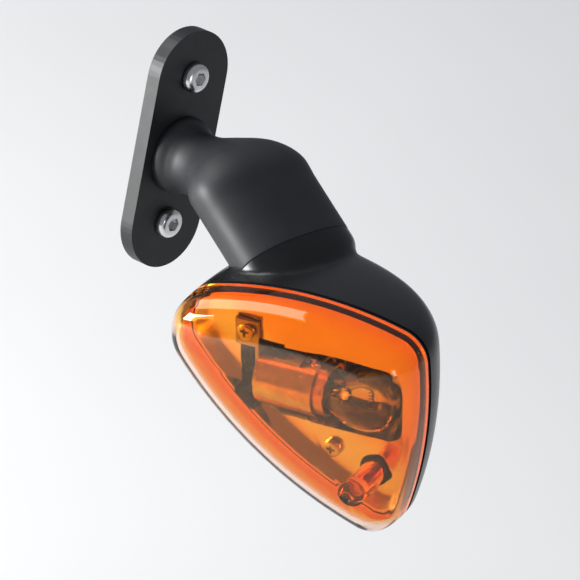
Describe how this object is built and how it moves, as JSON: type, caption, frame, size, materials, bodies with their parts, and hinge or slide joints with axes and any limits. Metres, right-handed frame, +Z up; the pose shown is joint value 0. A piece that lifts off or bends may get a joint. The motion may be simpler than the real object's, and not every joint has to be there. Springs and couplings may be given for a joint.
{
  "type": "turn signal indicator",
  "caption": "Rear motorcycle turn signal: a rounded triangular amber lens on a black housing, held by a flexible rubber stem on a leaning base plate.",
  "frame": {"origin": "centre of the base plate's back face, where it lies against the rear fender", "axes": "+X outboard on the right-hand side of the motorcycle, +Y forward, +Z up; the lens faces rearward, along -Y turned 17 degrees outboard"},
  "size_m": [0.1322, 0.067, 0.1184],
  "materials": {
    "plate": "satin black paint",
    "zinc": "bright zinc plating",
    "steel": "plain pressed steel",
    "stem_rubber": "smooth moulded rubber",
    "seal_rubber": "matt",
    "housing": "smooth satin black moulding",
    "lens": "clear amber, polished, smooth inside",
    "reflector": "vacuum metallised, faceted",
    "brass": "bright",
    "phenolic": "brown insulating board",
    "bulb_glass": "clear",
    "tungsten": "dull wire",
    "lead_green": "insulated wire",
    "lead_black": "insulated wire"
  },
  "bodies": {
    "mount": {"base_plate": "plate", "mount_screw_upper": "zinc", "mount_screw_lower": "zinc", "wire_grommet": "seal_rubber"},
    "stem": {"stem_rubber": "stem_rubber"},
    "head": {"stem_head_insert": "steel", "housing_screw_front": "zinc", "housing_screw_rear": "zinc", "housing": "housing", "lens_gasket": "seal_rubber", "lens_screw": "zinc", "reflector": "reflector", "reflector_screw": "zinc", "socket_shell": "zinc", "socket_bracket": "steel", "socket_screw": "zinc", "spring_seat": "phenolic", "live_terminal": "brass", "contact_spring": "steel", "lead_live": "lead_green", "lead_ground": "lead_black"},
    "lens": {"lens": "lens"},
    "plunger": {"contact_disc": "phenolic", "contact_rivet": "brass"},
    "bulb": {"bulb_cap": "brass", "bulb_insulator": "phenolic", "bulb_contact": "zinc", "bulb_glass": "bulb_glass", "bulb_mount": "bulb_glass", "bulb_filament": "tungsten"}
  },
  "joints": [
    {"name": "stem_sway", "type": "hinge", "parent": "mount", "child": "stem", "pos_m": [0.016, 0, 0], "axis": [0, 0, 1], "range_deg": [-20, 20], "stiffness_Nm_per_rad": 4, "deforming": ["stem_rubber"]},
    {"name": "stem_nod", "type": "hinge", "parent": "stem", "child": "head", "pos_m": [0.0474, -0.0018, -0.0097], "axis": [0.1392, 0.9903, 0], "range_deg": [-15, 15], "stiffness_Nm_per_rad": 4, "springref_deg": -0.34, "deforming": ["stem_rubber"]},
    {"name": "lens_off", "type": "slide", "parent": "head", "child": "lens", "axis": [0.2924, -0.9563, 0], "range_m": [0, 0.06]},
    {"name": "bulb_push", "type": "slide", "parent": "head", "child": "plunger", "axis": [-0.9563, -0.2924, 0], "range_m": [0, 0.0015], "stiffness_N_per_m": 1500, "springref_m": -0.006, "deforming": ["contact_spring"]},
    {"name": "bulb_twist", "type": "hinge", "parent": "plunger", "child": "bulb", "pos_m": [0.08193, -0.01739, -0.0453], "axis": [0.9563, 0.2924, 0], "range_deg": [0, 20]}
  ]
}
